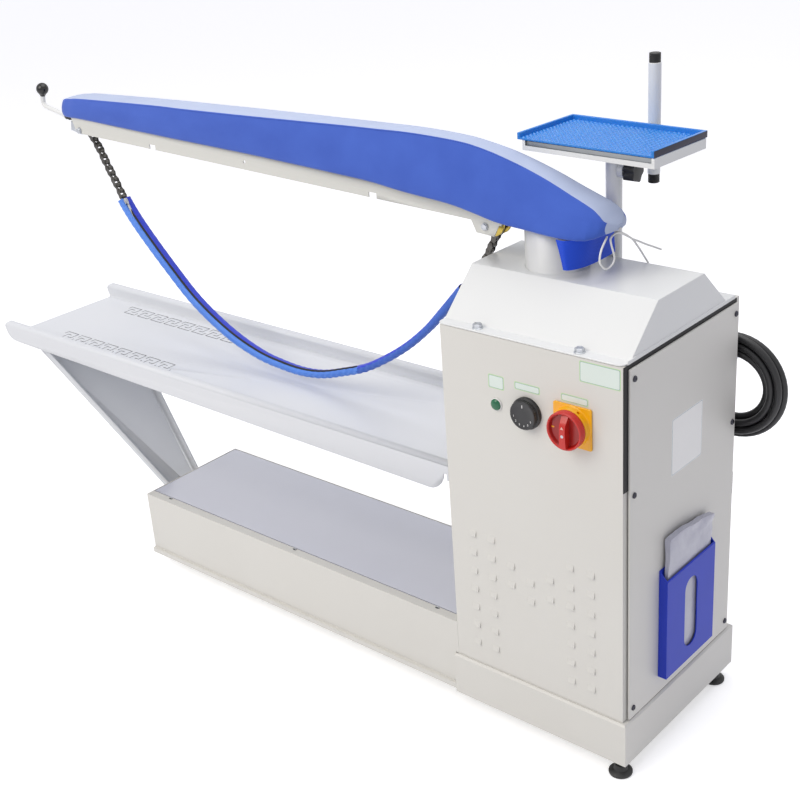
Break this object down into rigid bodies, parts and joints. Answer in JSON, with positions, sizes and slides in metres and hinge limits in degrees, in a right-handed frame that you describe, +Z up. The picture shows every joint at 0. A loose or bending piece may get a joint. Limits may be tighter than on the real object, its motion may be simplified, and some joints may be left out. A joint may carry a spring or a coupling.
{
  "type": "vacuum ironing table",
  "caption": "Vacuum ironing table with a long narrow padded board on a slim cabinet, catch tray, base box with treadle, iron rest and wound cable.",
  "frame": {"origin": "on the floor, under the middle of the table's outline without its free cable", "axes": "+X to the operator's right along the board, +Y to the back, +Z up"},
  "size_m": [1.6091, 0.408, 1.052],
  "materials": {
    "panel": "textured warm white powder coat",
    "lid": "smooth off-white powder coat",
    "tray": "smooth off-white powder coat",
    "channel": "smooth off-white powder coat",
    "treadle": "light grey paint",
    "gasket": "matte black",
    "foot": "matte black",
    "switch_plate": "satin yellow",
    "switch_knob": "satin red",
    "black_plastic": "matte black",
    "lamp": "translucent green",
    "pocket": "satin blue",
    "booklet": "papers in a clear bag",
    "galvanised": "bare sheet steel",
    "motor": "grey paint",
    "zinc": "zinc plated",
    "chain": "oiled steel chain",
    "cover": "quilted blue cloth with a pale top strip",
    "flap": "blue cloth",
    "sleeve": "blue coated cloth with a black zip",
    "cord": "white braided cord",
    "ball": "glossy black",
    "heat_plate": "brushed",
    "mat": "blue silicone",
    "cable": "matte black"
  },
  "bodies": {
    "table": {"plinth": "panel", "floor_plate": "panel", "front_panel": "panel", "body_sheet": "panel", "side_frame": "panel", "side_panel": "panel", "base_box": "panel", "side_gasket": "gasket", "lid": "lid", "catch_tray": "tray", "strut": "tray", "pedal_switch": "black_plastic", "switch_plate": "switch_plate", "switch_body": "black_plastic", "thermostat_body": "galvanised", "pilot_lamp": "lamp", "document_pocket": "pocket", "fan_stand": "galvanised", "fan_motor": "motor", "fan_housing": "galvanised", "suction_duct": "galvanised", "board_pad": "cover", "board_core": "galvanised", "heating_element": "motor", "column": "channel", "board_channel": "channel", "tip_bolt": "zinc", "rear_bolt": "zinc", "chain_upper_run": "chain", "chain_hanging_run": "chain", "chain_sleeve": "sleeve", "cover_flap": "flap", "tip_yoke": "zinc", "post": "channel", "cable_hook": "zinc", "cable_gland": "black_plastic", "rear_socket": "black_plastic", "mains_lead": "cable", "mains_coil": "cable", "mains_plug": "cable", "drawstring": "cord"},
    "main_switch": {"switch_knob": "switch_knob"},
    "thermostat": {"thermostat_knob": "black_plastic"},
    "crank": {"crank_rod": "zinc", "crank_ball": "ball"},
    "tip_pulley": {"tip_roller": "zinc"},
    "rear_pulley": {"rear_roller": "zinc"},
    "fan": {"fan_impeller": "zinc"},
    "stem": {"tray_stem": "zinc"},
    "iron_rest": {"iron_tray": "tray", "heat_plate": "heat_plate", "silicone_mat": "mat", "hanger_pole": "channel"},
    "clamp_knob": {"star_knob": "black_plastic"},
    "leveller_1": {"foot_1": "foot"},
    "leveller_2": {"foot_2": "foot"},
    "leveller_3": {"foot_3": "foot"},
    "leveller_4": {"foot_4": "foot"},
    "treadle": {"treadle_plate": "treadle"},
    "booklet": {"manual_booklet": "booklet"}
  },
  "joints": [
    {"name": "main_switch_turn", "type": "hinge", "parent": "table", "child": "main_switch", "pos_m": [0.67453, -0.18635, 0.5877], "axis": [0, -1, 0], "range_deg": [0, 90]},
    {"name": "thermostat_turn", "type": "hinge", "parent": "table", "child": "thermostat", "pos_m": [0.59453, -0.17835, 0.5877], "axis": [0, -1, 0], "range_deg": [-210, 60]},
    {"name": "crank_turn", "type": "hinge", "parent": "table", "child": "crank", "pos_m": [-0.56607, -0.01835, 0.8625], "axis": [-0.9803, 0, 0.1977], "continuous": true},
    {"name": "tip_roller_turn", "type": "hinge", "parent": "table", "child": "tip_pulley", "pos_m": [-0.56607, -0.01835, 0.8625], "axis": [0, 1, 0], "continuous": true},
    {"name": "rear_roller_turn", "type": "hinge", "parent": "table", "child": "rear_pulley", "pos_m": [0.43553, -0.01835, 0.813], "axis": [0, 1, 0], "continuous": true},
    {"name": "fan_turn", "type": "hinge", "parent": "table", "child": "fan", "pos_m": [0.54753, -0.01835, 0.445], "axis": [0, 0, 1], "continuous": true},
    {"name": "tray_lift", "type": "slide", "parent": "table", "child": "stem", "axis": [0, 0, 1], "range_m": [0, 0.12]},
    {"name": "tray_swivel", "type": "hinge", "parent": "stem", "child": "iron_rest", "pos_m": [0.59653, 0.06015, 0.924], "axis": [0, 0, 1], "range_deg": [-90, 90]},
    {"name": "star_knob_turn", "type": "hinge", "parent": "table", "child": "clamp_knob", "pos_m": [0.62653, 0.06015, 0.895], "axis": [1, 0, 0], "continuous": true},
    {"name": "foot_1_screw", "type": "slide", "parent": "table", "child": "leveller_1", "axis": [0, 0, -1], "range_m": [0, 0.015]},
    {"name": "foot_2_screw", "type": "slide", "parent": "table", "child": "leveller_2", "axis": [0, 0, -1], "range_m": [0, 0.015]},
    {"name": "foot_3_screw", "type": "slide", "parent": "table", "child": "leveller_3", "axis": [0, 0, -1], "range_m": [0, 0.015]},
    {"name": "foot_4_screw", "type": "slide", "parent": "table", "child": "leveller_4", "axis": [0, 0, -1], "range_m": [0, 0.015]},
    {"name": "treadle_press", "type": "hinge", "parent": "table", "child": "treadle", "pos_m": [0.03653, 0.06565, 0.1546], "axis": [1, 0, 0], "range_deg": [0, 2.5], "stiffness_Nm_per_rad": 60, "springref_deg": -5.73},
    {"name": "booklet_slide", "type": "slide", "parent": "table", "child": "booklet", "axis": [0, 0, 1], "range_m": [0, 0.25]}
  ],
  "couplings": [
    {"joint": "tip_roller_turn", "follows": "rear_roller_turn", "ratio": 1}
  ]
}
